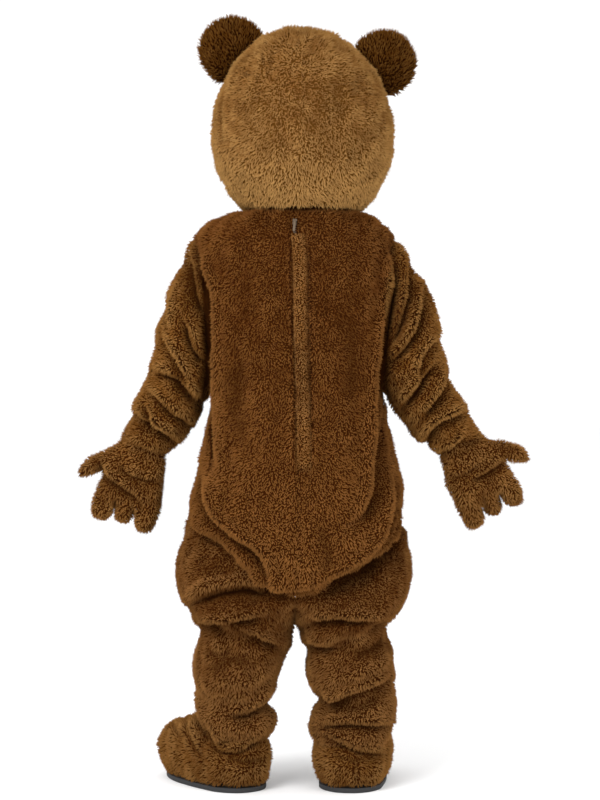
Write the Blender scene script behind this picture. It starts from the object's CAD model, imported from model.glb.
import math
from collections import namedtuple

import bmesh
import bpy
import numpy as np
from mathutils import Matrix, Vector
from mathutils.bvhtree import BVHTree
from mathutils.kdtree import KDTree


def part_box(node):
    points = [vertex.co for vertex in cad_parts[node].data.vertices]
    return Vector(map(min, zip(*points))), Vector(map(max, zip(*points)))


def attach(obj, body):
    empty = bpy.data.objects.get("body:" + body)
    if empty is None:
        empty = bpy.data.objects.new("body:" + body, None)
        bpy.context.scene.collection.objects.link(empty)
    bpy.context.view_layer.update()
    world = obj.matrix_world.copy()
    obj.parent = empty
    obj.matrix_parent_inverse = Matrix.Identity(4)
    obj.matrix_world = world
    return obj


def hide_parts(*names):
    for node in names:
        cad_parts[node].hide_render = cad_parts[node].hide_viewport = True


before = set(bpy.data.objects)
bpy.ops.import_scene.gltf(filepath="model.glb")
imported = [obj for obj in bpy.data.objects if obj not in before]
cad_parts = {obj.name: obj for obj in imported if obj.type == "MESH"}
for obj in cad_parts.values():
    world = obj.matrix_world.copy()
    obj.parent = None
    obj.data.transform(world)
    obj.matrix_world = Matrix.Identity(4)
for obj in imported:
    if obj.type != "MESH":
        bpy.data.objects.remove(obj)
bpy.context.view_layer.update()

# Heights in the tables are above the floor, which is this far under the origin
floorDrop = 1.42
# The middle of the pouch that the back hangs in, as X and height: its edges roll in towards it
pouchMiddle = np.array([0.0, 0.85])

# Each plush: how deep the backing lies, the pile's length, spacing and thickness, how it lies,
# its colours from the root to the sunlit tips, and how much paler it gets between two heights
bodyPlush = {
    "name": "body", "slot": "plush_body", "inset": 0.0065, "pile": 0.0102, "spacing": 0.0040,
    "thick": 0.0019, "lean": 0.60, "scatter": 0.28, "clump": 0.0085, "gather": 0.15, "round": 0.78,
    "root": (0.042, 0.0120, 0.0022), "tip": (0.102, 0.031, 0.0070), "pale": (0.290, 0.122, 0.032),
    "dark": (0.066, 0.018, 0.0030), "sheen": 0.14, "glow": (0.60, 0.27, 0.07), "patch": 0.60,
    "lit": (0.72, -0.95, -0.20),
}
sleevePlush = dict(bodyPlush, name="sleeve", tip=(0.180, 0.066, 0.0110), pale=(0.430, 0.220, 0.064),
                   lit=(0.05, -0.70, -0.40))
glovePlush = dict(sleevePlush, name="glove", inset=0.0010, pile=0.0095, tip=(0.205, 0.082, 0.0180),
                  pale=(0.420, 0.215, 0.065))
legPlush = dict(bodyPlush, name="leg", tip=(0.104, 0.035, 0.0080), pale=(0.330, 0.158, 0.048),
                lit=(0.55, -1.28, -0.98))
bootPlush = dict(bodyPlush, name="boot", tip=(0.180, 0.074, 0.0160), pale=(0.350, 0.180, 0.056),
                 lit=(0.0, -1.40, -1.20))
headPlush = dict(
    bodyPlush, name="head", slot="plush_head", inset=0.0080, pile=0.0125, spacing=0.0041,
    thick=0.0020, lean=0.60, scatter=0.34, clump=0.0110, gather=0.20, round=0.74,
    root=(0.110, 0.043, 0.0085), tip=(0.205, 0.085, 0.0200), pale=(0.520, 0.290, 0.095),
    dark=(0.110, 0.040, 0.0070), glow=(0.70, 0.40, 0.12), patch=0.95, lit=(0.85, 0.03, 0.25),
)
earPlush = dict(
    bodyPlush, name="ear", slot="plush_ear", pile=0.0130, inset=0.0070, root=(0.014, 0.004, 0.0005),
    tip=(0.072, 0.023, 0.0028), pale=(0.180, 0.082, 0.020), dark=(0.040, 0.012, 0.0015), sheen=0.3,
    lit=(0.0, 0.30, 0.50),
)
muzzlePlush = dict(
    bodyPlush, name="muzzle", slot="plush_muzzle", pile=0.0070, inset=0.0045, spacing=0.0034,
    thick=0.0017, root=(0.240, 0.145, 0.060), tip=(0.560, 0.390, 0.190), pale=(0.680, 0.500, 0.280),
    dark=(0.380, 0.240, 0.100), glow=(0.80, 0.60, 0.35), patch=0.30, lit=(0.0, 0.10, 0.30),
)
flapPlush = dict(
    bodyPlush, name="flap", pile=0.0085, inset=0.0030, spacing=0.0032, lean=0.35,
    tip=(0.255, 0.102, 0.0230), pale=(0.450, 0.235, 0.078), lit=(0.10, -0.70, -0.10),
)

# The plush pieces: their look, how finely the cloth is divided, the size each was cut to, how it
# is held and the way its pile is stroked
PlushPiece = namedtuple("PlushPiece", "node look levels width length area held nap")
plushPieces = [
    PlushPiece("back_left", bodyPlush, 2, 0.34, 1.02, 0.255, "stretched", (0.0, 0.0, -1.0)),
    PlushPiece("back_right", bodyPlush, 2, 0.34, 1.02, 0.260, "stretched", (0.0, 0.0, -1.0)),
    PlushPiece("front", bodyPlush, 2, 0.86, 1.10, 0.670, "stretched", (0.0, 0.0, -1.0)),
    PlushPiece("sleeve_left", sleevePlush, 2, 0.62, 0.56, 0.205, "gathered", (0.3, 0.0, -1.0)),
    PlushPiece("sleeve_right", sleevePlush, 2, 0.62, 0.56, 0.210, "gathered", (-0.3, 0.0, -1.0)),
    PlushPiece("leg_left", legPlush, 2, 0.92, 0.56, 0.360, "gathered", (0.0, 0.0, -1.0)),
    PlushPiece("leg_right", legPlush, 2, 0.92, 0.56, 0.355, "gathered", (0.0, 0.0, -1.0)),
    PlushPiece("glove_left", glovePlush, 1, 0.34, 0.27, 0.078, "stretched", (0.3, 0.0, -1.0)),
    PlushPiece("glove_right", glovePlush, 1, 0.34, 0.27, 0.078, "stretched", (-0.5, 0.0, -1.0)),
    PlushPiece("boot_left", bootPlush, 2, 0.75, 0.24, 0.165, "stretched", (0.6, -0.8, -0.5)),
    PlushPiece("boot_right", bootPlush, 2, 0.75, 0.24, 0.165, "stretched", (0.0, -1.0, -0.5)),
    PlushPiece("head_back_left", headPlush, 3, 0.36, 0.56, 0.142, "stretched", (0.1, 0.0, -1.0)),
    PlushPiece("head_back_right", headPlush, 3, 0.36, 0.56, 0.142, "stretched", (-0.1, 0.0, -1.0)),
    PlushPiece("head_face", headPlush, 3, 0.72, 0.56, 0.275, "stretched", (0.0, 0.0, -1.0)),
    PlushPiece("ear_left", earPlush, 1, 0.0, 0.0, 0.0, "padded", (0.2, 0.0, 1.0)),
    PlushPiece("ear_right", earPlush, 1, 0.0, 0.0, 0.0, "padded", (-0.2, 0.0, 1.0)),
    PlushPiece("muzzle", muzzlePlush, 1, 0.0, 0.0, 0.0, "padded", (0.0, 0.6, -1.0)),
    PlushPiece("zip_flap", flapPlush, 2, 0.045, 0.60, 0.027, "laid", (0.0, 0.0, -1.0)),
]

seamDip = {"depth": 0.0055, "width": 0.0085, "hidden": 0.85, "tone": 80.0}
unevenness = {"height": 0.0026, "size": 0.060}
# The padding that rounds out the hips over the leg line: its height above the floor on the left
# and right, half height, thickness, and how far from the middle it starts and is whole
hipPad = {"left": 0.662, "right": 0.636, "half": 0.024, "out": 0.018, "start": 0.17, "whole": 0.25}
smallPieces = ("zip_flap", "muzzle", "ear_left", "ear_right")
clothLook = {"thickness": 0.002, "reach": 0.005, "rootStand": 0.0005, "padding": 0.8,
             "sharp": 58.0, "together": 0.004, "settle": 6, "flatter": 0.3}
# Across a fold: how steep its rolled side is and how easy the other, as shares of its half
# width, and the place, width and height of the roll, or of both rolls of an even fold. Along
# it: how fast it fades to its ends and what is left there. Round the suit: how far past the
# side it is still there, and over what turn it grows to its whole depth.
foldLook = {"steep": 0.60, "easy": 2.1, "rollPlace": 1.7, "rollWidth": 1.2, "roll": 0.45,
            "evenPlace": 2.0, "evenRoll": 0.35, "reach": 6, "fade": 5.0, "end": 0.25,
            "past": 0.15, "turn": 0.45, "darkDepth": 0.012, "darkEdge": 1.6, "lightHeight": 0.007}

# Folds placed by hand: the pieces they cross, the side they face, which side of the line rolls
# over it, the half width of the trough, its depth and its line. A depth below zero is a ridge.
# Lines are X and height above the floor as they are seen from the back (or front), at the
# depth of the suit's middle. This table is in millimetres.
Fold = namedtuple("Fold", "pieces facing over width depth line")
foldRows = [
    # The back hangs like a pouch, with rolled edges
    ("back sleeve_left", "back", "in", 10, 26,
     [(268, 1360), (248, 1290), (230, 1220), (227, 1000), (222, 800)]),
    ("back sleeve_right", "back", "in", 10, 24,
     [(-224, 1380), (-238, 1270), (-216, 1145), (-197, 968), (-194, 800)]),
    ("back leg_right front", "back", "in", 12, 26,
     [(-197, 960), (-193, 828), (-188, 748), (-177, 708), (-159, 677), (-141, 668)]),
    ("back leg_left front", "back", "in", 12, 30,
     [(252, 800), (252, 730), (240, 692), (228, 668), (194, 636),
      (158, 610), (122, 588), (100, 560), (87, 533), (82, 500)]),
    ("back leg front", "back", "in", 10, 6,
     [(110, 498), (73, 483), (11, 480), (-30, 490), (-60, 500)]),
    ("back leg_right front", "back", "in", 11, 26,
     [(-35, 490), (-53, 498), (-132, 538), (-185, 574), (-218, 615),
      (-235, 668), (-247, 725), (-240, 784)]),
    ("back leg front", "back", "in", 6, 12,
     [(-258, 721), (-262, 668), (-247, 622), (-222, 588), (-205, 578)]),
    ("back", "back", "both", 3, 5, [(-31, 545), (-33, 490)]),
    ("back", "back", "both", 3.5, 7.5, [(19, 1410), (19, 1340), (11.5, 995), (8.5, 770)]),
    ("back", "back", "both", 3.5, 7.5, [(-17, 1410), (-18.5, 1340), (-24.5, 995), (-26.5, 770)]),
    ("back", "back", "both", 22, 6, [(-50, 660), (-75, 580), (-60, 520)]),
    ("back", "back", "both", 30, -7, [(60, 620), (20, 560), (-50, 545)]),
    ("back", "back", "both", 30, 5, [(150, 1080), (165, 960), (140, 840)]),
    ("back", "back", "both", 30, 5, [(-110, 1200), (-135, 1080), (-120, 960)]),
    ("back", "back", "both", 20, -4, [(120, 1330), (90, 1240), (85, 1120)]),
    # Left leg
    ("leg_left back", "back", "up", 12, 30,
     [(284, 452), (248, 475), (203, 491), (154, 498), (128, 499), (100, 489), (73, 483)]),
    ("leg_left", "back", "up", 9, 20, [(262, 406), (203, 402), (154, 411), (95, 421)]),
    ("leg_left", "back", "up", 7, 16, [(195, 400), (180, 398), (150, 388), (118, 375), (42, 343)]),
    ("leg_left", "back", "up", 8, 20, [(56, 238), (75, 215), (105, 195), (132, 184), (175, 180)]),
    ("leg_left", "back", "both", 20, 7, [(228, 288), (180, 318), (120, 312)]),
    ("leg_left", "back", "both", 12, -7, [(200, 262), (125, 258), (70, 297)]),
    ("leg_left", "back", "both", 10, 6, [(240, 345), (200, 330), (170, 345)]),
    # Right leg
    ("leg_right", "back", "up", 10, 22, [(-6, 404), (-68, 413), (-140, 412), (-222, 408)]),
    ("leg_right", "back", "up", 7, 14, [(-12, 358), (-45, 345), (-85, 350)]),
    ("leg_right", "back", "up", 10, 20,
     [(-40, 238), (-72, 208), (-135, 228), (-186, 245), (-232, 270)]),
    ("leg_right", "back", "both", 12, -7, [(-70, 268), (-135, 276), (-195, 302), (-228, 335)]),
    ("leg_right", "back", "both", 14, 8, [(-130, 330), (-180, 345), (-215, 375)]),
    ("leg_right", "back", "up", 8, 20, [(-38, 152), (-118, 157), (-180, 152), (-236, 154)]),
    ("leg_right", "back", "both", 10, 7, [(-113, 188), (-165, 205), (-210, 223)]),
    # Foot covers, with the ruffles where the left one meets its leg
    ("leg_right boot_right", "back", "up", 7, 13,
     [(-40, 137), (-112, 103), (-158, 88), (-226, 86)]),
    ("boot_right", "back", "both", 12, 6, [(-70, 80), (-140, 66), (-210, 72)]),
    ("boot_right", "back", "both", 3.5, 5, [(-140, 62), (-142, 12)]),
    ("boot_left", "back", "both", 6, 11, [(290, 212), (285, 163), (268, 105), (247, 75)]),
    ("boot_left", "back", "both", 6, 10, [(270, 217), (258, 163), (236, 105)]),
    ("boot_left", "back", "both", 6, 8, [(312, 205), (318, 160), (300, 120)]),
    ("boot_left leg_left", "back", "up", 7, 13,
     [(248, 165), (222, 125), (203, 92), (150, 90), (80, 130)]),
    ("boot_left", "back", "both", 12, 8, [(190, 70), (130, 62), (80, 72)]),
    # Sleeves and gloves
    ("sleeve_left", "back", "up", 14, 28, [(285, 1338), (283, 1320), (266, 1250), (235, 1177)]),
    ("sleeve_left", "back", "up", 10, 26, [(292, 1170), (269, 1103), (233, 1050)]),
    ("sleeve_left", "back", "both", 15, -5, [(325, 1238), (320, 1173), (300, 1105)]),
    ("sleeve_left", "back", "up", 8, 23, [(352, 1129), (326, 1083), (280, 1010)]),
    ("sleeve_left", "back", "up", 10, 26, [(376, 1042), (326, 1025), (292, 998), (242, 950)]),
    ("sleeve_left", "back", "up", 8, 18, [(393, 998), (360, 971), (326, 938), (260, 897)]),
    ("sleeve_left", "back", "up", 6, 12, [(336, 1210), (335, 1145)]),
    ("sleeve_left", "back", "up", 6, 12, [(398, 960), (378, 927), (367, 900)]),
    ("sleeve_left", "back", "up", 8, 24, [(422, 938), (389, 912), (348, 888), (300, 855)]),
    ("sleeve_left", "back", "both", 9, -4, [(438, 878), (398, 865), (355, 838)]),
    ("sleeve_left", "back", "up", 6, 15, [(453, 830), (408, 797), (372, 812), (338, 825)]),
    ("sleeve_right", "back", "up", 8, 23, [(-245, 1288), (-225, 1222), (-210, 1137)]),
    ("sleeve_right", "back", "up", 9, 23, [(-280, 1335), (-276, 1242), (-256, 1175), (-228, 1100)]),
    ("sleeve_right", "back", "up", 9, 26,
     [(-312, 1248), (-307, 1196), (-297, 1153), (-260, 1095), (-215, 1052)]),
    ("sleeve_right", "back", "up", 7, 18, [(-352, 1125), (-310, 1075), (-297, 1022)]),
    ("sleeve_right", "back", "up", 8, 23, [(-345, 1062), (-310, 1018), (-250, 945)]),
    ("sleeve_right", "back", "up", 8, 23, [(-380, 1042), (-360, 988), (-305, 922)]),
    ("sleeve_right", "back", "up", 8, 26, [(-425, 945), (-388, 925), (-340, 901), (-302, 850)]),
    ("sleeve_right", "back", "up", 7, 16, [(-417, 880), (-380, 846), (-340, 830)]),
    ("sleeve_right", "back", "up", 6, 16, [(-465, 885), (-450, 860), (-430, 838), (-388, 812)]),
    ("sleeve_right", "back", "up", 5, 12, [(-357, 802), (-398, 797), (-430, 802), (-460, 818)]),
    ("glove_left", "back", "up", 7, 12,
     [(501, 823), (485, 780), (450, 753), (408, 723), (395, 703)]),
    ("glove_left", "back", "up", 6, 9, [(453, 810), (425, 782), (385, 770), (350, 768)]),
    ("glove_right", "back", "up", 7, 12, [(-425, 763), (-476, 793), (-512, 820)]),
    ("glove_right", "back", "up", 6, 7, [(-370, 777), (-405, 782), (-450, 810)]),
    # Paws: the fingers' knuckles
    ("glove_left", "back", "both", 6, 6, [(462, 722), (466, 690), (470, 670)]),
    ("glove_left", "back", "both", 6, 6, [(418, 712), (420, 690), (422, 668)]),
    ("glove_right", "back", "both", 6, 6, [(-500, 742), (-500, 715), (-502, 690)]),
    ("glove_right", "back", "both", 6, 6, [(-455, 735), (-462, 705), (-468, 680)]),
    # Head: the darts of the crown and the side panel's seam
    ("head", "back", "both", 5, 7, [(156, 1797), (128, 1780)]),
    ("head", "back", "both", 5, 6, [(-208, 1786), (-188, 1776)]),
    ("head_back_left", "back", "both", 6, 5, [(196, 1735), (203, 1680), (196, 1600)]),
    # The hidden front: the belly's rolls and the soft lines at the hips
    ("front leg", "front", "in", 12, 24, [(255, 760), (235, 670), (165, 585), (85, 520), (20, 478),
      (-50, 486), (-130, 545), (-205, 620), (-245, 720)]),
    ("front", "front", "both", 14, 10, [(225, 960), (170, 925), (110, 930)]),
    ("front", "front", "both", 13, 9, [(-215, 975), (-150, 930), (-85, 925)]),
    ("front", "front", "both", 12, 8, [(210, 1110), (160, 1060), (120, 1055)]),
    ("front", "front", "both", 12, 8, [(-200, 1130), (-150, 1085), (-95, 1070)]),
    ("front", "front", "both", 16, 7, [(120, 700), (50, 665), (-30, 668)]),
    ("front", "front", "both", 12, 8, [(150, 1350), (130, 1280), (150, 1210)]),
    ("front", "front", "both", 12, 8, [(-150, 1345), (-125, 1270), (-140, 1190)]),
]
folds = [Fold(pieces, facing, over, width / 1000, depth / 1000,
              [(x / 1000, height / 1000) for x, height in line])
         for pieces, facing, over, width, depth, line in foldRows]
# The limbs' folds run round to the hidden side, a little higher or lower and softer there
wrapLook = {"limbs": ("sleeve", "leg", "boot", "glove"), "shift": 0.014, "depth": 0.8}
wrapped = [fold for fold in folds
           if fold.facing == "back" and fold.pieces.startswith(wrapLook["limbs"])]
for number, fold in enumerate(wrapped):
    shift = wrapLook["shift"] * (-1) ** number
    line = [(x, height + shift) for x, height in fold.line]
    folds.append(fold._replace(facing="front", depth=fold.depth * wrapLook["depth"], line=line))

# How the pile grows: its tufts' least distance as a share of their spacing, the nap's bends,
# how it is pressed down near the floor, how its lean, length and thickness vary, how much
# shorter it is in a trough, and how the clumps' middles wander
pileLook = {
    "apart": 1.12, "bend": 0.35, "bendSizes": ((0.16, 11), (0.19, 12), (0.17, 13)),
    "floorPull": 2.5, "floorReach": 0.03, "leanShare": 0.25, "leanSize": 0.05,
    "lengths": (0.75, 1.15), "lengthShare": 0.10, "lengthSize": 0.03, "worn": 0.45,
    "wander": 0.2, "thicks": (0.8, 1.2), "step": 0.002, "plenty": 3.2, "rounding": 0.002,
}
# The pile's shades: for each noise its scale, detail and the range that shows, and the shares
# of the paler, sunlit and dark colours
pileShade = {
    "patches": (7.0, 3.0, 0.42, 0.62), "brushed": (24.0, 3.0, 0.40, 0.66),
    "specks": (70.0, 2.0, 0.40, 0.65), "speckShare": 0.22, "toneShare": 0.22,
    "brushShare": 0.25, "ridgeShare": 0.60, "troughShare": 0.96, "troughDark": 0.3,
    "tipPower": 0.6,
}
weaveLook = {"scale": 900.0, "dark": 0.6, "strength": 0.3, "distance": 0.0005}
plainLook = {"stain": 30.0, "stainDark": 0.7, "uneven": 0.15, "under": 0.07, "grain": 700.0,
             "strength": 0.15, "distance": 0.0004}
cameraLook = {"distance": 5.2, "height": 1.06, "lens": 93.6, "aimHeight": 0.9675}
# Each lamp: its name, power, place and size
stageLook = {"floor": (0.93, 0.93, 0.93), "reach": 30.0, "world": 1.10, "aim": (0.0, 0.0, -0.4),
             "lamps": (("key", 200.0, (2.2, 3.6, 1.9), 2.4), ("fill", 70.0, (-3.0, 3.0, 0.8), 3.0))}
noseLook = {"levels": 2, "roughness": 0.16, "shine": 0.20, "colour": (0.004, 0.0035, 0.003)}
# The mouth: the stitch's thickness and stand, how far under the nose's edge it starts, how far
# down it runs before it parts, and the width and drop of its two arcs
mouthLook = {"thickness": 0.0018, "stand": 0.0025, "start": 0.006, "down": 0.036, "width": 0.040,
             "drop": 0.014, "roughness": 0.8, "colour": (0.020, 0.010, 0.006)}
soleLook = {"columns": 126, "bevel": 0.0030, "roughness": 0.78, "colour": (0.016, 0.016, 0.017)}
# The zip: its teeth's pitch, size and place, and how far the pile parts round it and above and
# below the stretch that shows
teethLook = {"pitch": 0.0024, "width": 0.0042, "height": 0.0013, "deep": 0.0024, "bevel": 0.0003,
             "sink": 0.0020, "side": 0.35, "ends": 0.004, "parting": 0.0045, "above": 0.012,
             "below": 0.006, "roughness": 0.32, "colour": (0.17, 0.125, 0.085)}


def say(text):
    print("scene:", text, flush=True)


def unit(vectors):
    size = np.linalg.norm(vectors, axis=-1, keepdims=True)
    return vectors / np.maximum(size, 1e-12)


def waves(points, size, seed):
    # Soft unevenness, about as strong as a sine wave of this size
    rng = np.random.default_rng(seed)
    total = np.zeros(len(points))
    count = 7
    for _ in range(count):
        way = unit(rng.normal(size=3)) * rng.uniform(0.7, 1.5)
        total += np.sin(points @ way * (2 * math.pi / size) + rng.uniform(0, 2 * math.pi))
    return total / math.sqrt(count)


def link(name, mesh):
    item = bpy.data.objects.new(name, mesh)
    bpy.context.scene.collection.objects.link(item)
    return item


def finish(name, maker):
    mesh = bpy.data.meshes.new(name)
    maker.to_mesh(mesh)
    maker.free()
    mesh.shade_smooth()
    return link(name, mesh)


def withFaces(points, faces):
    maker = bmesh.new()
    for point in points:
        maker.verts.new(point)
    maker.verts.ensure_lookup_table()
    for face in faces:
        maker.faces.new([maker.verts[number] for number in face])
    return maker


def treeOf(points):
    tree = KDTree(len(points))
    for number, point in enumerate(points):
        tree.insert(point, number)
    tree.balance()
    return tree


def eased(share):
    return share * share * (3 - 2 * share)


def nodePoints(node):
    return np.array([vertex.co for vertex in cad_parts[node].data.vertices])


def outerSkin(node):
    # The outer face of a node's wall: its largest stretch with no sharp edge in it
    maker = bmesh.new()
    maker.from_mesh(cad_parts[node].data)
    bmesh.ops.remove_doubles(maker, verts=maker.verts, dist=1e-5)
    maker.faces.ensure_lookup_table()
    sharp = math.radians(clothLook["sharp"])
    left = set(range(len(maker.faces)))
    best, bestArea = [], 0.0
    while left:
        region = [left.pop()]
        for number in region:
            for edge in maker.faces[number].edges:
                for other in edge.link_faces:
                    if other.index in left and edge.calc_face_angle(math.pi) < sharp:
                        left.discard(other.index)
                        region.append(other.index)
        area = sum(maker.faces[number].calc_area() for number in region)
        if area > bestArea:
            best, bestArea = region, area
    keep = set(best)
    drop = [face for face in maker.faces if face.index not in keep]
    bmesh.ops.delete(maker, geom=drop, context="FACES")
    bmesh.ops.join_triangles(
        maker, faces=maker.faces, angle_face_threshold=math.radians(50),
        angle_shape_threshold=math.radians(60),
    )
    mesh = bpy.data.meshes.new(node + "_skin")
    maker.to_mesh(mesh)
    maker.free()
    return mesh


class Skin:
    # A node's outer face, divided smooth, and moved back out to the size of its solid
    def __init__(self, node, levels):
        coarse = outerSkin(node)
        item = link(node + "_skin", coarse)
        smooth = item.modifiers.new("smooth", "SUBSURF")
        smooth.levels = smooth.render_levels = levels
        smooth.boundary_smooth = "PRESERVE_CORNERS"
        fine = bpy.data.meshes.new_from_object(
            item.evaluated_get(bpy.context.evaluated_depsgraph_get())
        )
        self.faces = [tuple(face.vertices) for face in fine.polygons]
        self.points = np.array([vertex.co for vertex in fine.vertices], float)
        self.normals = np.array([vertex.normal for vertex in fine.vertices], float)
        fine.calc_loop_triangles()
        self.triangles = np.array([face.vertices for face in fine.loop_triangles], int)
        middle = self.points.mean(0)
        if np.mean(np.sum(self.normals * (self.points - middle), axis=1)) < 0:
            self.normals = -self.normals
            self.triangles = self.triangles[:, ::-1]
            self.faces = [face[::-1] for face in self.faces]
        uses = {}
        for face in self.faces:
            for pair in zip(face, face[1:] + face[:1]):
                uses[tuple(sorted(pair))] = uses.get(tuple(sorted(pair)), 0) + 1
        self.border = np.array(sorted({i for pair, count in uses.items() if count == 1
                                       for i in pair}), int)
        self.keepSize(coarse, np.array(list(uses), int))
        self.borderGap = self.toBorder()
        bpy.data.objects.remove(item)
        bpy.data.meshes.remove(coarse)
        bpy.data.meshes.remove(fine)

    def keepSize(self, coarse, edges):
        tree = BVHTree.FromPolygons([vertex.co for vertex in coarse.vertices],
                                    [face.vertices for face in coarse.polygons])
        nearest = np.array([tree.find_nearest(point)[0] for point in self.points])
        gap = np.sum((nearest - self.points) * self.normals, axis=1)
        ends, others = np.concatenate([edges, edges[:, ::-1]]).T
        count = np.bincount(ends, minlength=len(gap))
        for _ in range(clothLook["settle"]):
            around = np.bincount(ends, weights=gap[others], minlength=len(gap))
            gap = (gap + around) / (1 + count)
        self.points += self.normals * gap[:, None]

    def toBorder(self):
        if not len(self.border):
            return np.full(len(self.points), 1.0)
        tree = treeOf(self.points[self.border])
        return np.array([tree.find(point)[2] for point in self.points])


def shareSeamNormals(skins):
    # Panels that meet at a seam get the same normals there, so that no step shows
    owners = [(number, point) for number, skin in enumerate(skins) for point in skin.border]
    tree = treeOf([skins[number].points[point] for number, point in owners])
    shared = []
    for number, skin in enumerate(skins):
        for point in skin.border:
            found = tree.find_range(skin.points[point], clothLook["together"])
            near = [owners[k] for _, k, _ in found]
            others = [skins[n].normals[p] for n, p in near if n != number]
            if others:
                shared.append((skin, point, unit(skin.normals[point] + np.mean(others, axis=0))))
    for skin, point, normal in shared:
        skin.normals[point] = normal


def smoothLine(line, steps=6):
    line = np.array(line, float)
    if len(line) < 3:
        return line
    padded = np.vstack([2 * line[0] - line[1], line, 2 * line[-1] - line[-2]])
    curve = []
    for k in range(1, len(padded) - 2):
        a, b, c, d = padded[k - 1:k + 3]
        for t in np.linspace(0, 1, steps, endpoint=False):
            bend = 2 * a - 5 * b + 4 * c - d
            curve.append(0.5 * (2 * b + (c - a) * t + bend * t**2 + (3 * b - a - 3 * c + d) * t**3))
    curve.append(line[-1])
    return np.array(curve)


def lineDistance(flat, line, over):
    # Distance to a line, above 0 on the side that rolls over it, and how far along that is
    best = np.full(len(flat), 1e9)
    signed = np.zeros(len(flat))
    along = np.zeros(len(flat))
    lengths = np.linalg.norm(np.diff(line, axis=0), axis=1)
    done = 0.0
    for start, end, length in zip(line, line[1:], lengths):
        way = (end - start) / max(length, 1e-9)
        across = np.array([-way[1], way[0]])
        target = np.array([0.0, 1.0]) if over == "up" else pouchMiddle - (start + end) / 2
        if across @ target < 0:
            across = -across
        t = np.clip((flat - start) @ way, 0.0, length)
        off = flat - start - t[:, None] * way
        gap = np.linalg.norm(off, axis=1)
        closer = gap < best
        best = np.where(closer, gap, best)
        signed = np.where(closer, gap * np.where(off @ across < 0, -1.0, 1.0), signed)
        along = np.where(closer, (done + t) / lengths.sum(), along)
        done += length
    return signed, along


def foldProfile(signed, fold):
    # The trough of a fold, and the roll beside it, as shares of its depth
    if fold.over == "both":
        apart = np.abs(signed) / fold.width
        roll = np.exp(-(apart - foldLook["evenPlace"]) ** 2)
        return np.exp(-apart**2), foldLook["evenRoll"] * roll
    steep = np.where(signed > 0, foldLook["steep"], foldLook["easy"]) * fold.width
    place = foldLook["rollPlace"] / foldLook["rollWidth"]
    start = math.exp(-place**2)
    roll = np.exp(-(signed / (foldLook["rollWidth"] * fold.width) - place) ** 2) - start
    roll = np.where(signed > 0, np.maximum(roll, 0.0), 0.0) / (1 - start)
    return np.exp(-(signed / steep) ** 2), foldLook["roll"] * roll


def hipShift(points):
    start, whole = hipPad["start"], hipPad["whole"]
    share = np.clip((np.abs(points[:, 0]) - start) / (whole - start), 0, 1)
    middle = np.where(points[:, 0] > 0, hipPad["left"], hipPad["right"])
    apart = (points[:, 2] + floorDrop - middle) / hipPad["half"]
    return hipPad["out"] * eased(share) * np.exp(-apart**2)


def foldShift(node, points, normals):
    # How far the folds move the cloth out, and how deep in a trough it lies, from 0 to 1
    lift = unevenness["height"] * waves(points, unevenness["size"], 5)
    trough = np.zeros(len(points))
    if node in smallPieces:
        return lift * clothLook["flatter"], trough
    eye = np.array([0.0, cameraLook["height"] - floorDrop])
    for fold in folds:
        if not node.startswith(tuple(fold.pieces.split())):
            continue
        towards = 1 if fold.facing == "back" else -1
        seen = np.clip((normals[:, 1] * towards + foldLook["past"]) / foldLook["turn"], 0, 1)
        nearer = cameraLook["distance"] / (cameraLook["distance"] - towards * points[:, 1:2])
        flat = eye + (points[:, (0, 2)] - eye) * nearer + np.array([0.0, floorDrop])
        line = smoothLine(fold.line)
        reach = foldLook["reach"] * fold.width
        inside = (flat > line.min(0) - reach) & (flat < line.max(0) + reach)
        close = np.flatnonzero(inside.all(axis=1) & (seen > 0))
        if not len(close):
            continue
        signed, along = lineDistance(flat[close], line, fold.over)
        fade = np.clip(np.minimum(along, 1 - along) * foldLook["fade"], 0.0, 1.0)
        strength = seen[close] * (foldLook["end"] + (1 - foldLook["end"]) * eased(fade))
        low, high = foldProfile(signed, fold)
        lift[close] += fold.depth * (high - low) * strength
        deep = min(max(fold.depth, 0.0) / foldLook["darkDepth"], 1.0)
        dark = low ** foldLook["darkEdge"] * strength * deep
        trough[close] = np.maximum(trough[close], dark)
    return lift, trough


def seamShift(node, points, border):
    # How far a seam pulls the cloth in: the pile hides those of the body, legs and head
    dip = seamDip["depth"] * np.exp(-(border / seamDip["width"]) ** 2)
    return dip * (1 - seamDip["hidden"] * node.startswith(("head", "back", "front", "leg")))


def slopeOf(node, points, normals, lift, step):
    # The way the folded cloth faces, and the lowest it lies close by
    side = unit(np.cross(normals, np.array([0.3, 0.1, 1.0])))
    rise = np.cross(side, normals)
    around = [foldShift(node, points + way * step, normals)[0]
              for way in (side, -side, rise, -rise)]
    slopeSide = (around[0] - around[1]) / (2 * step)
    slopeRise = (around[2] - around[3]) / (2 * step)
    facing = unit(normals - side * slopeSide[:, None] - rise * slopeRise[:, None])
    return facing, np.min([lift] + around, axis=0)


def clothShell(node, skin, inset):
    # The backing as a closed thin shell, under the roots of the pile
    lift, _ = foldShift(node, skin.points, skin.normals)
    skin.folded = skin.points + skin.normals * lift[:, None]
    _, lowest = slopeOf(node, skin.points, skin.normals, lift, clothLook["reach"])
    shift = lowest - seamShift(node, skin.points, skin.borderGap) - inset
    points = skin.points + skin.normals * shift[:, None]
    shell = finish(node + "_cloth", withFaces(points, skin.faces))
    wall = shell.modifiers.new("wall", "SOLIDIFY")
    wall.thickness = clothLook["thickness"]
    wall.offset = -1.0
    return shell


def thinned(points, cell):
    # One point kept in each cell of a grid
    keys = np.floor(points / cell).astype(np.int64)
    keys -= keys.min(0)
    return np.unique((keys[:, 0] * 4096 + keys[:, 1]) * 4096 + keys[:, 2], return_index=True)[1]


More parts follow.
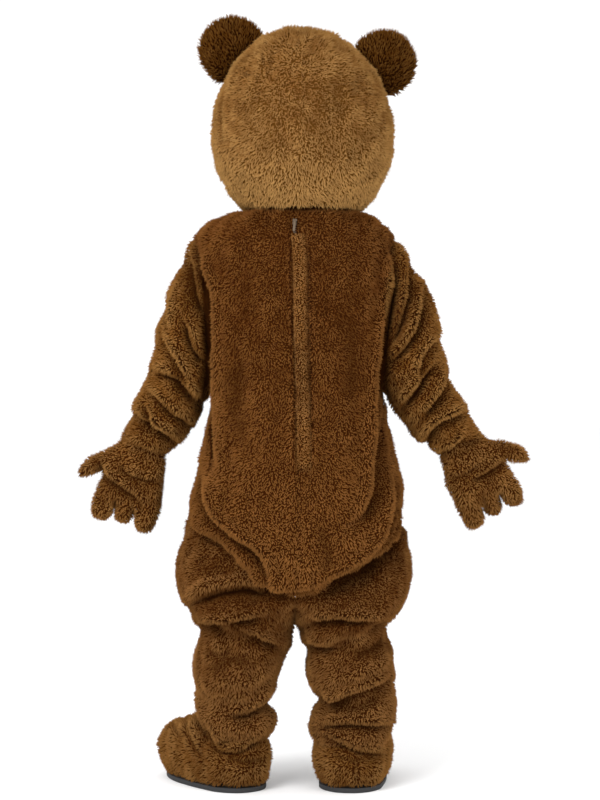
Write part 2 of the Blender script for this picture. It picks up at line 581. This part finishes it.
def plantSpots(skin, spacing, rng):
    # Spots all over a skin, more of them where the folds stretch it
    corners = skin.folded[skin.triangles]
    area = np.cross(corners[:, 1] - corners[:, 0], corners[:, 2] - corners[:, 0])
    area = np.linalg.norm(area, axis=1) / 2
    count = int(area.sum() / spacing**2 * pileLook["plenty"])
    picked = rng.choice(len(area), size=count, p=area / area.sum())
    a, b = rng.random(count), rng.random(count)
    flip = a + b > 1
    a, b = np.where(flip, 1 - a, a), np.where(flip, 1 - b, b)
    shares = np.stack([1 - a - b, a, b], axis=1)[..., None]
    chosen = skin.triangles[picked]
    spots = (skin.points[chosen] * shares).sum(1)
    normals = unit((skin.normals[chosen] * shares).sum(1))
    border = (skin.borderGap[chosen][..., None] * shares).sum(1)[:, 0]
    return spots, normals, border


def nearest(points, targets):
    tree = treeOf(targets)
    return np.array([tree.find(point)[1] for point in points])


def furMesh(name, roots, tips, facing, thick, tones, roundness, seed):
    # A three-sided tuft from each root to its tip, each with a cell of its own for the bake
    count = len(roots)
    way = unit(tips - roots)
    side = unit(np.cross(way, facing + 0.013))
    other = np.cross(way, side)
    turn = np.random.default_rng(seed).uniform(0, 2 * math.pi, count)
    corners = []
    for k in range(3):
        angle = (turn + k * 2 * math.pi / 3)[:, None]
        corners.append(roots + (side * np.cos(angle) + other * np.sin(angle)) * thick[:, None])
    points = np.stack(corners + [tips], axis=1).reshape(-1, 3)
    sides = np.array([[0, 1, 3], [1, 2, 3], [2, 0, 3]])
    faces = (np.arange(count)[:, None, None] * 4 + sides[None]).reshape(-1, 3)
    mesh = bpy.data.meshes.new(name)
    mesh.vertices.add(len(points))
    mesh.vertices.foreach_set("co", points.ravel())
    mesh.loops.add(faces.size)
    mesh.loops.foreach_set("vertex_index", faces.ravel())
    mesh.polygons.add(len(faces))
    mesh.polygons.foreach_set("loop_start", np.arange(0, faces.size, 3))
    mesh.update(calc_edges=True)
    mesh.validate()
    cells = math.ceil(math.sqrt(count))
    cell = np.stack([np.arange(count) % cells, np.arange(count) // cells], axis=1) / cells
    shape = np.array([[0.15, 0.12], [0.85, 0.12], [0.5, 0.88]])
    spread = np.repeat(cell[:, None, None, :] + shape[None, None] / cells, 3, axis=1)
    mesh.uv_layers.new(name="OFBake").data.foreach_set("uv", spread.ravel())
    tones = dict({key: np.repeat(values, 4) for key, values in tones.items()},
                 tip=np.tile([0.0, 0.0, 0.0, 1.0], count))
    for key, values in tones.items():
        mesh.attributes.new(key, "FLOAT", "POINT").data.foreach_set("value", values)
    middle = np.repeat(roots + facing * pileLook["rounding"], 4, axis=0)
    soft = np.repeat(facing, 4, axis=0) * roundness + unit(points - middle) * (1 - roundness)
    mesh.shade_smooth()
    mesh.normals_split_custom_set_from_vertices(unit(soft).tolist())
    return link(name, mesh)


def growFur(piece, skin, seed):
    look = piece.look
    rng = np.random.default_rng(seed)
    spots, normals, border = plantSpots(skin, look["spacing"], rng)
    lift, trough = foldShift(piece.node, spots, normals)
    dip = seamShift(piece.node, spots, border)
    shift = lift - dip - look["inset"] + clothLook["rootStand"]
    roots = spots + normals * shift[:, None]
    keep = thinned(roots, look["spacing"] * pileLook["apart"])
    if piece.node.startswith("back"):
        keep = keep[~inZipGap(roots[keep])]
    spots, normals, roots = spots[keep], normals[keep], roots[keep]
    lift, trough = lift[keep], np.clip(trough + seamDip["tone"] * dip, 0, 1)[keep]
    count = len(roots)
    facing, _ = slopeOf(piece.node, spots, normals, lift, pileLook["step"])
    bends = np.stack([waves(spots, *bend) for bend in pileLook["bendSizes"]], axis=1)
    nap = np.array(piece.nap, float) + pileLook["bend"] * bends
    low = np.exp(-(spots[:, 2] + floorDrop) / pileLook["floorReach"])
    nap[:, 2] -= pileLook["floorPull"] * low
    nap = unit(nap - facing * np.sum(nap * facing, axis=1, keepdims=True))
    lean = 1 + pileLook["leanShare"] * waves(spots, pileLook["leanSize"], 14)
    lean = look["lean"] * lean[:, None]
    way = unit(facing + nap * lean + rng.normal(size=(count, 3)) * look["scatter"])
    length = look["pile"] * rng.uniform(*pileLook["lengths"], count)
    length = length * (1 + pileLook["lengthShare"] * waves(spots, pileLook["lengthSize"], 15))
    tips = roots + way * (length * (1 - pileLook["worn"] * trough))[:, None]
    centres = roots[thinned(roots, look["clump"])]
    centres = centres + rng.normal(size=centres.shape) * look["clump"] * pileLook["wander"]
    pull = centres[nearest(roots, centres)] - roots
    pull -= facing * np.sum(pull * facing, axis=1, keepdims=True)
    tips = tips + pull * look["gather"]
    thick = look["thick"] * rng.uniform(*pileLook["thicks"], count)
    tones = {"tone": rng.random(count), "trough": trough,
             "ridge": np.clip(lift / foldLook["lightHeight"], 0, 1)}
    return furMesh(piece.node + "_fur", roots, tips, facing, thick, tones, look["round"], seed)


class Sum:
    # A shader value that takes part in sums
    def __init__(self, tree, socket):
        self.tree, self.socket = tree, socket

    def maths(self, operation, first, second):
        node = self.tree.nodes.new("ShaderNodeMath")
        node.operation = operation
        for socket, value in zip(node.inputs, (first, second)):
            plug(self.tree, socket, value)
        return Sum(self.tree, node.outputs[0])

    def __add__(self, other):
        return self.maths("ADD", self, other)

    def __rsub__(self, other):
        return self.maths("SUBTRACT", other, self)

    def __mul__(self, other):
        return self.maths("MULTIPLY", self, other)

    def __rmul__(self, other):
        return self.maths("MULTIPLY", other, self)

    def __pow__(self, other):
        return self.maths("POWER", self, other)


def plug(tree, socket, value):
    if isinstance(value, Sum):
        tree.links.new(value.socket, socket)
    elif isinstance(value, (tuple, list)) and len(value) == 3 and socket.type == "RGBA":
        socket.default_value = (*value, 1.0)
    else:
        socket.default_value = value


class Paint:
    # A material on object coordinates, with the nodes that feed its shader
    def __init__(self, name, **sockets):
        self.material = bpy.data.materials.new(name)
        self.material.use_nodes = True
        self.tree = self.material.node_tree
        self.shader = self.tree.nodes["Principled BSDF"]
        for key, value in sockets.items():
            plug(self.tree, self.shader.inputs[key.replace("_", " ")], value)
        self.place = Sum(self.tree, self.tree.nodes.new("ShaderNodeTexCoord").outputs["Object"])

    def node(self, kind, output, settings, sockets):
        made = self.tree.nodes.new(kind)
        for name, value in settings.items():
            setattr(made, name, value)
        for name, value in sockets.items():
            plug(self.tree, made.inputs[name], value)
        return Sum(self.tree, made.outputs[output])

    def noise(self, scale, detail):
        return self.node("ShaderNodeTexNoise", "Fac", {},
                         {"Vector": self.place, "Scale": scale, "Detail": detail})

    def attribute(self, name):
        return self.node("ShaderNodeAttribute", "Fac", {"attribute_name": name}, {})

    def within(self, value, low, high):
        return self.node("ShaderNodeMapRange", "Result", {"interpolation_type": "SMOOTHSTEP"},
                         {"Value": value, "From Min": low, "From Max": high})

    def spots(self, scale, detail, low, high):
        return self.within(self.noise(scale, detail), low, high)

    def mix(self, share, first, second):
        return self.node("ShaderNodeMix", 2, {"data_type": "RGBA"},
                         {0: share, 6: first, 7: second})

    def feed(self, name, value):
        plug(self.tree, self.shader.inputs[name], value)

    def bump(self, height, strength, distance):
        self.feed("Normal", self.node("ShaderNodeBump", "Normal", {}, {
            "Height": height, "Strength": strength, "Distance": distance}))


def furPaint(name, look):
    paint = Paint(name, Roughness=0.9, Sheen_Weight=look["sheen"], Sheen_Roughness=0.5,
                  Sheen_Tint=look["glow"], Specular_IOR_Level=0.0)
    shade = pileShade
    outside = paint.mix(paint.spots(*shade["patches"]) * look["patch"], look["tip"], look["dark"])
    light = paint.spots(*shade["specks"]) * shade["speckShare"]
    light = light + paint.attribute("tone") * shade["toneShare"]
    light = light + paint.spots(*shade["brushed"]) * shade["brushShare"]
    outside = paint.mix(light, outside, look["pale"])
    outside = paint.mix(paint.attribute("ridge") * shade["ridgeShare"], outside, look["pale"])
    paler, bottom, top = look["lit"]
    height = paint.node("ShaderNodeSeparateXYZ", "Z", {}, {"Vector": paint.place})
    outside = paint.mix((1.0 - paint.within(height, bottom, top)) * paler, outside, look["pale"])
    deep = tuple(value * shade["troughDark"] for value in look["root"])
    outside = paint.mix(paint.attribute("trough") * shade["troughShare"], outside, deep)
    rise = paint.attribute("tip") ** shade["tipPower"]
    paint.feed("Base Color", paint.mix(rise, look["root"], outside))
    return paint.material


def clothPaint(name, look):
    paint = Paint(name, Roughness=0.95, Specular_IOR_Level=0.0)
    weave = paint.noise(weaveLook["scale"], 1.0)
    dark = tuple(value * weaveLook["dark"] for value in look["root"])
    paint.feed("Base Color", paint.mix(weave, dark, look["root"]))
    paint.bump(weave, weaveLook["strength"], weaveLook["distance"])
    return paint.material


def plainPaint(name, look, metallic=0.0, shine=0.5):
    # Moulded or cast: slightly stained, with a fine grain and uneven gloss
    paint = Paint(name, Metallic=metallic, Specular_IOR_Level=shine)
    colour = look["colour"]
    stain = paint.noise(plainLook["stain"], 3.0)
    dark = tuple(value * plainLook["stainDark"] for value in colour)
    paint.feed("Base Color", paint.mix(stain, dark, colour))
    paint.feed("Roughness", stain * plainLook["uneven"] + (look["roughness"] - plainLook["under"]))
    paint.bump(paint.noise(plainLook["grain"], 2.0), plainLook["strength"], plainLook["distance"])
    return paint.material


def dress(item, material, slot, *nodes):
    item.data.materials.clear()
    item.data.materials.append(material)
    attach(item, "costume")
    if nodes:
        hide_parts(*nodes)
    return item


def buildPlush():
    skins = {piece.node: Skin(piece.node, piece.levels) for piece in plushPieces}
    shareSeamNormals([skins[piece.node] for piece in plushPieces if piece.held != "padded"])
    for node in ("front", "back_left", "back_right", "leg_left", "leg_right"):
        skins[node].points += skins[node].normals * hipShift(skins[node].points)[:, None]
    say("skins")
    paints = {}
    total = 0
    for number, piece in enumerate(plushPieces):
        skin, look = skins[piece.node], piece.look
        if look["name"] not in paints:
            paints[look["name"]] = (furPaint(look["name"] + "_pile", look),
                                    clothPaint(look["name"] + "_backing", look))
        pile, backing = paints[look["name"]]
        shell = clothShell(piece.node, skin, look["inset"])
        dress(shell, backing, look["slot"], piece.node)
        fur = dress(growFur(piece, skin, 100 + number), pile, look["slot"])
        total += len(fur.data.polygons)
        total += sum(len(face.vertices) - 2 for face in shell.data.polygons)
    say("plush, %d triangles" % total)
    return skins


def smoothSolid(node, slot, material, levels):
    # A hard node's own form with its facets rounded away
    skin = Skin(node, levels)
    maker = withFaces(skin.points, skin.faces)
    bmesh.ops.holes_fill(maker, edges=[edge for edge in maker.edges if edge.is_boundary])
    dress(finish(node + "_smooth", maker), material, slot, node)


def mouthLine(skins, material):
    # A stitched line down from the nose, parted in two arcs, on the muzzle's pile
    skin = skins["muzzle"]
    tree = BVHTree.FromPolygons(skin.points.tolist(), skin.faces)
    low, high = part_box("nose")
    x, top = (low[0] + high[0]) / 2, low[2] + mouthLook["start"]
    turn = np.linspace(0.0, math.pi / 2, 9)
    fall = np.linspace(0.0, -mouthLook["down"], 4)
    drop = -mouthLook["down"] - mouthLook["drop"] * np.sin(2 * turn)
    curl = np.stack([mouthLook["width"] * np.sin(turn), drop], axis=1)
    strokes = [np.stack([0.0 * fall, fall], axis=1), curl, curl * np.array([-1.0, 1.0])]
    curve = bpy.data.curves.new("mouth_stitch", "CURVE")
    curve.dimensions = "3D"
    curve.bevel_depth = mouthLook["thickness"]
    curve.bevel_resolution = 2
    curve.use_fill_caps = True
    for stroke in strokes:
        spline = curve.splines.new("POLY")
        spots = []
        for across, down in stroke:
            before = Vector((x + across, -0.6, top + down))
            spot, normal, _, _ = tree.ray_cast(before, Vector((0, 1, 0)))
            if spot:
                spots.append(spot + (normal if normal.y < 0 else -normal) * mouthLook["stand"])
        spline.points.add(len(spots) - 1)
        for point, spot in zip(spline.points, spots):
            point.co = (*spot, 1.0)
    item = link("mouth_stitch", curve)
    mesh = bpy.data.meshes.new_from_object(
        item.evaluated_get(bpy.context.evaluated_depsgraph_get()))
    bpy.data.objects.remove(item)
    dress(link("mouth_stitch", mesh), material, "gloss_black")


def smoothSole(node, material):
    # The sole with a smooth outline in place of its few straight sides
    points = nodePoints(node)
    bottom = points[:, 2].min()
    top = points[points[:, 2] > points[:, 2].max() - 0.001]
    top = np.unique(np.round(top, 6), axis=0)
    middle = top.mean(0)
    top = top[np.argsort(np.arctan2(top[:, 1] - middle[1], top[:, 0] - middle[0]))]
    ring = np.vstack([top[-1:], top, top[:2]])[:, :2]
    steps = soleLook["columns"] // len(top)
    outline = smoothLine(ring, steps)[steps:-steps - 1]
    height = points[:, 2].max() - bottom
    maker = bmesh.new()
    bmesh.ops.create_circle(maker, cap_ends=True, segments=len(outline), radius=1.0)
    maker.verts.ensure_lookup_table()
    for vertex, (x, y) in zip(maker.verts, outline):
        vertex.co = (x, y, bottom)
    grown = bmesh.ops.extrude_face_region(maker, geom=maker.faces[:])["geom"]
    lifted = [item for item in grown if isinstance(item, bmesh.types.BMVert)]
    bmesh.ops.translate(maker, vec=(0.0, 0.0, height), verts=lifted)
    bmesh.ops.recalc_face_normals(maker, faces=maker.faces)
    low = [edge for edge in maker.edges
           if all(vertex.co.z < bottom + 0.0005 for vertex in edge.verts)]
    bmesh.ops.bevel(maker, geom=low, offset=soleLook["bevel"], offset_type="OFFSET", segments=4,
                    profile=0.5, affect="EDGES", material=-1)
    piece = finish(node + "_smooth", maker)
    piece.data.set_sharp_from_angle(angle=math.radians(40))
    dress(piece, material, "rubber_sole", node)


def zipGap():
    # From the slider's lower edge to the top of the strip over the zip
    sliderLow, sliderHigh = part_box("zip_slider")
    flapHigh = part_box("zip_flap")[1]
    x = (sliderLow[0] + sliderHigh[0]) / 2
    return x, sliderLow[2] + teethLook["ends"], flapHigh[2] - teethLook["ends"]


def inZipGap(points):
    x, top, bottom = zipGap()
    near = np.abs(points[:, 0] - x) < teethLook["parting"]
    near &= points[:, 2] < top + teethLook["above"]
    return near & (points[:, 2] > bottom - teethLook["below"]) & (points[:, 1] > 0)


def zipTeeth(skins, material):
    # Interlocked teeth where the zip shows between the slider and the strip
    x, top, bottom = zipGap()
    skin = skins["back_left"]
    tree = BVHTree.FromPolygons(skin.points.tolist(), skin.faces)
    maker = bmesh.new()
    for number in range(int((top - bottom) / teethLook["pitch"])):
        side = 1.0 if number % 2 else -1.0
        height = top - number * teethLook["pitch"]
        spot, normal, _, _ = tree.find_nearest(Vector((x, 0.2, height)))
        if normal.y < 0:
            normal = -normal
        aside = side * teethLook["width"] * teethLook["side"]
        place = Matrix.Translation(Vector((x + aside, spot.y, height))
                                   - normal * teethLook["sink"])
        place = place @ normal.to_track_quat("Y", "Z").to_matrix().to_4x4()
        size = Matrix.Diagonal((teethLook["width"], teethLook["deep"], teethLook["height"], 1.0))
        made = bmesh.ops.create_cube(maker, size=1.0, matrix=place @ size)["verts"]
        edges = {edge for vertex in made for edge in vertex.link_edges}
        bmesh.ops.bevel(maker, geom=list(edges), offset=teethLook["bevel"], offset_type="OFFSET",
                        segments=2, profile=0.5, affect="EDGES", material=-1)
    dress(finish("zip_teeth", maker), material, "zip_metal")


def buildHard(skins):
    gloss = plainPaint("moulded_black", noseLook, shine=noseLook["shine"])
    rubber = plainPaint("sole_rubber", soleLook)
    alloy = plainPaint("zip_alloy", teethLook, metallic=1.0)
    thread = plainPaint("mouth_thread", mouthLook)
    for node in ("nose", "eye_left", "eye_right"):
        smoothSolid(node, "gloss_black", gloss, noseLook["levels"])
    for node in ("sole_left", "sole_right"):
        smoothSole(node, rubber)
    mouthLine(skins, thread)
    zipTeeth(skins, alloy)
    for node in ("zip_slider", "zip_pull"):
        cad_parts[node].data.materials.clear()
        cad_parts[node].data.materials.append(alloy)
    say("nose, eyes, mouth, soles and zip")


def makeStage():
    scene = bpy.context.scene
    maker = bmesh.new()
    bmesh.ops.create_grid(maker, x_segments=1, y_segments=1, size=stageLook["reach"])
    bmesh.ops.translate(maker, vec=(0.0, 0.0, -floorDrop), verts=maker.verts)
    floor = finish("floor", maker)
    floor.data.materials.append(
        Paint("floor_paint", Roughness=0.9, Base_Color=stageLook["floor"]).material)
    world = bpy.data.worlds.new("soft_room")
    world.use_nodes = True
    back = world.node_tree.nodes["Background"]
    back.inputs["Color"].default_value = (1.0, 1.0, 1.0, 1.0)
    back.inputs["Strength"].default_value = stageLook["world"]
    scene.world = world
    aim = Vector(stageLook["aim"])
    for name, power, place, size in stageLook["lamps"]:
        light = bpy.data.lights.new(name, "AREA")
        light.size = size
        light.energy = power
        item = link(name, light)
        item.location = place
        item.rotation_mode = "QUATERNION"
        item.rotation_quaternion = (aim - Vector(place)).to_track_quat("-Z", "Y")
    scene.view_settings.view_transform = "Standard"
    scene.view_settings.look = "None"


def makeCamera():
    data = bpy.data.cameras.new("camera")
    data.lens = cameraLook["lens"]
    data.sensor_width = 36.0
    aim = cameraLook["aimHeight"] - cameraLook["height"]
    data.shift_y = aim / (data.sensor_width / cameraLook["lens"] * cameraLook["distance"])
    item = link("camera", data)
    item.location = (0.0, cameraLook["distance"], cameraLook["height"] - floorDrop)
    item.rotation_mode = "QUATERNION"
    item.rotation_quaternion = Vector((0.0, -1.0, 0.0)).to_track_quat("-Z", "Y")
    bpy.context.scene.camera = item


for name in ("Cube", "Light", "Camera"):
    if name in bpy.data.objects:
        bpy.data.objects.remove(bpy.data.objects[name])
makeCamera()
makeStage()
say("camera and stage")
buildHard(buildPlush())
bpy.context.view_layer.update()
say("size written")
